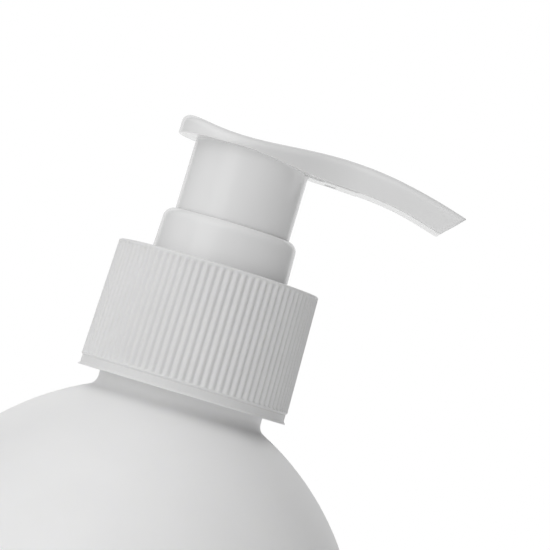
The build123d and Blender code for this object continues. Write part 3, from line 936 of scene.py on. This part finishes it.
def spring_shape():
    """A wound spring whose first and last turns lie closed."""
    per_turn, around = 48, 14
    closed_pace = 1.04 * 2 * WIRE_R
    count = int(SPRING_TURNS * per_turn)
    pace = []
    for k in range(count):
        turn = (k + 0.5) / per_turn
        from_end = min(turn, SPRING_TURNS - turn)
        pace.append(closed_pace + 100.0 * smooth_step(0.7, 1.5, from_end))
    spare = (spring_high - spring_low - 2 * WIRE_R) * per_turn - closed_pace * count
    opening = sum(p - closed_pace for p in pace)
    pace = [closed_pace + (p - closed_pace) * spare / opening for p in pace]
    z, rings = spring_low + WIRE_R, []
    for k in range(count + 1):
        angle = 2 * math.pi * k / per_turn
        c, s = math.cos(angle), math.sin(angle)
        taper = min(1.0, 0.25 + 0.75 * min(k, count - k) / 4)
        ring = []
        for j in range(around):
            a = 2 * math.pi * j / around
            r = SPRING_R + WIRE_R * taper * math.cos(a)
            ring.append((r * c, r * s, z + WIRE_R * taper * math.sin(a)))
        rings.append(ring)
        if k < count:
            z += pace[k] / per_turn
    return swept(rings)


spring = made("spring_wire", spring_shape(), "spring", STEEL_MATERIAL, "spring_steel", "return_spring")
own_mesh(spring)

# ---------------------------------------------------------------- CAD nodes that stay as they are

KEPT = {
    "pump_housing": CLEAR_MATERIAL,
    "dip_tube": CLEAR_MATERIAL,
    "piston": CLEAR_MATERIAL,
    "piston_rod": CLEAR_MATERIAL,
    "stem": PUMP_MATERIAL,
    "bottle_gasket": SEAL_MATERIAL,
    "stem_seal": SEAL_MATERIAL,
    "inlet_ball": STEEL_MATERIAL,
}
for name, material in KEPT.items():
    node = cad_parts[name]
    node.data.materials.clear()
    node.data.materials.append(material)

# ---------------------------------------------------------------- floor, light and camera

FLOOR_HALF = 6.0
FLOOR_NEAR = 0.12  # the paper fades from pale to the backdrop's white between these distances
FLOOR_FAR = 0.55


def floor():
    """A wide pale sheet under the object."""
    far = FLOOR_HALF
    mesh = bpy.data.meshes.new("floor")
    mesh.from_pydata([(-far, -far, 0), (far, -far, 0), (far, far, 0), (-far, far, 0)], [], [[0, 1, 2, 3]])
    s = Shader("floor_paper")
    s.tinted(s.noise(8.0, 3.0), grey(0.80), grey(0.82))
    s.surface.inputs["Roughness"].default_value = 0.9
    away = s.node("ShaderNodeVectorMath", operation="LENGTH")
    s.link(s.place, away.inputs[0])
    glow = s.between(away.outputs["Value"], 0.0, 1.0, FLOOR_NEAR, FLOOR_FAR)
    shade = s.node("ShaderNodeMixShader")
    white = s.node("ShaderNodeEmission")
    white.inputs["Strength"].default_value = 1.0
    s.link(glow, shade.inputs["Fac"])
    s.link(s.surface.outputs["BSDF"], shade.inputs[1])
    s.link(white.outputs["Emission"], shade.inputs[2])
    s.link(shade.outputs["Shader"], s.tree.nodes["Material Output"].inputs["Surface"])
    mesh.materials.append(s.material)
    sheet = bpy.data.objects.new("floor", mesh)
    bpy.context.scene.collection.objects.link(sheet)


def toward(azimuth, elevation):
    """The unit vector in that direction; azimuth 0 is the camera's side and 90 is +X."""
    a, e = math.radians(azimuth), math.radians(elevation)
    return Vector((math.sin(a) * math.cos(e), -math.cos(a) * math.cos(e), math.sin(e)))


# Soft panels of light: azimuth, elevation, cosines where each starts and is full, strength.
LOBES = [
    (180, 8, 0.70, 0.88, 0.95),
    (145, 8, 0.84, 0.96, 0.20),
    (-145, 8, 0.84, 0.96, 0.10),
    (-38, 22, 0.895, 0.930, 0.95),
    (-60, 45, 0.45, 0.98, 0.70),
    (-20, 45, 0.45, 0.98, 0.48),
    (70, 72, 0.55, 0.95, 0.22),
    (0, 90, 0.20, 0.95, 0.30),
]


def studio_world():
    """White to the camera; for light, soft panels round the object, each fading out to its sides."""
    world = bpy.data.worlds.new("studio")
    bpy.context.scene.world = world
    world.use_nodes = True
    tree = world.node_tree
    tree.nodes.clear()
    output = tree.nodes.new("ShaderNodeOutputWorld")
    mix = tree.nodes.new("ShaderNodeMixShader")
    path = tree.nodes.new("ShaderNodeLightPath")
    seen = tree.nodes.new("ShaderNodeBackground")
    seen.inputs["Color"].default_value = (1, 1, 1, 1)
    lit = tree.nodes.new("ShaderNodeBackground")
    place = tree.nodes.new("ShaderNodeTexCoord")
    total = None
    for azimuth, elevation, edge, core, strength in LOBES:
        dot = tree.nodes.new("ShaderNodeVectorMath")
        dot.operation = "DOT_PRODUCT"
        dot.inputs[1].default_value = toward(azimuth, elevation)
        span = tree.nodes.new("ShaderNodeMapRange")
        span.interpolation_type = "SMOOTHSTEP"
        span.inputs["From Min"].default_value = edge
        span.inputs["From Max"].default_value = core
        span.inputs["To Min"].default_value = 0.0
        span.inputs["To Max"].default_value = strength
        tree.links.new(place.outputs["Generated"], dot.inputs[0])
        tree.links.new(dot.outputs["Value"], span.inputs["Value"])
        if total is None:
            total = span.outputs["Result"]
        else:
            added = tree.nodes.new("ShaderNodeMath")
            tree.links.new(total, added.inputs[0])
            tree.links.new(span.outputs["Result"], added.inputs[1])
            total = added.outputs["Value"]
    tree.links.new(total, lit.inputs["Strength"])
    tree.links.new(path.outputs["Is Camera Ray"], mix.inputs["Fac"])
    tree.links.new(lit.outputs["Background"], mix.inputs[1])
    tree.links.new(seen.outputs["Background"], mix.inputs[2])
    tree.links.new(mix.outputs["Shader"], output.inputs["Surface"])


AIM = Vector((8.66, 0.0, ZC + 21.99)) * MM
CAMERA_DISTANCE = 0.45
CAMERA_AZIMUTH = -0.9
CAMERA_ELEVATION = -2.65
CAMERA_ROLL = math.radians(16.7)
FRAME_WIDTH = 85.94 * MM
SENSOR = 36.0

floor()
studio_world()

camera_data = bpy.data.cameras.new("camera")
camera_data.sensor_width = SENSOR
camera_data.lens = SENSOR * CAMERA_DISTANCE / FRAME_WIDTH
camera_data.clip_start, camera_data.clip_end = 0.05, 20.0
camera = bpy.data.objects.new("camera", camera_data)
toward_camera = toward(CAMERA_AZIMUTH, CAMERA_ELEVATION)
camera.location = AIM + toward_camera * CAMERA_DISTANCE
camera.rotation_mode = "QUATERNION"
camera.rotation_quaternion = (-toward_camera).to_track_quat("-Z", "Y") @ Quaternion((0, 0, 1), CAMERA_ROLL)
bpy.context.scene.collection.objects.link(camera)
bpy.context.scene.camera = camera
bpy.context.scene.view_settings.view_transform = "Standard"
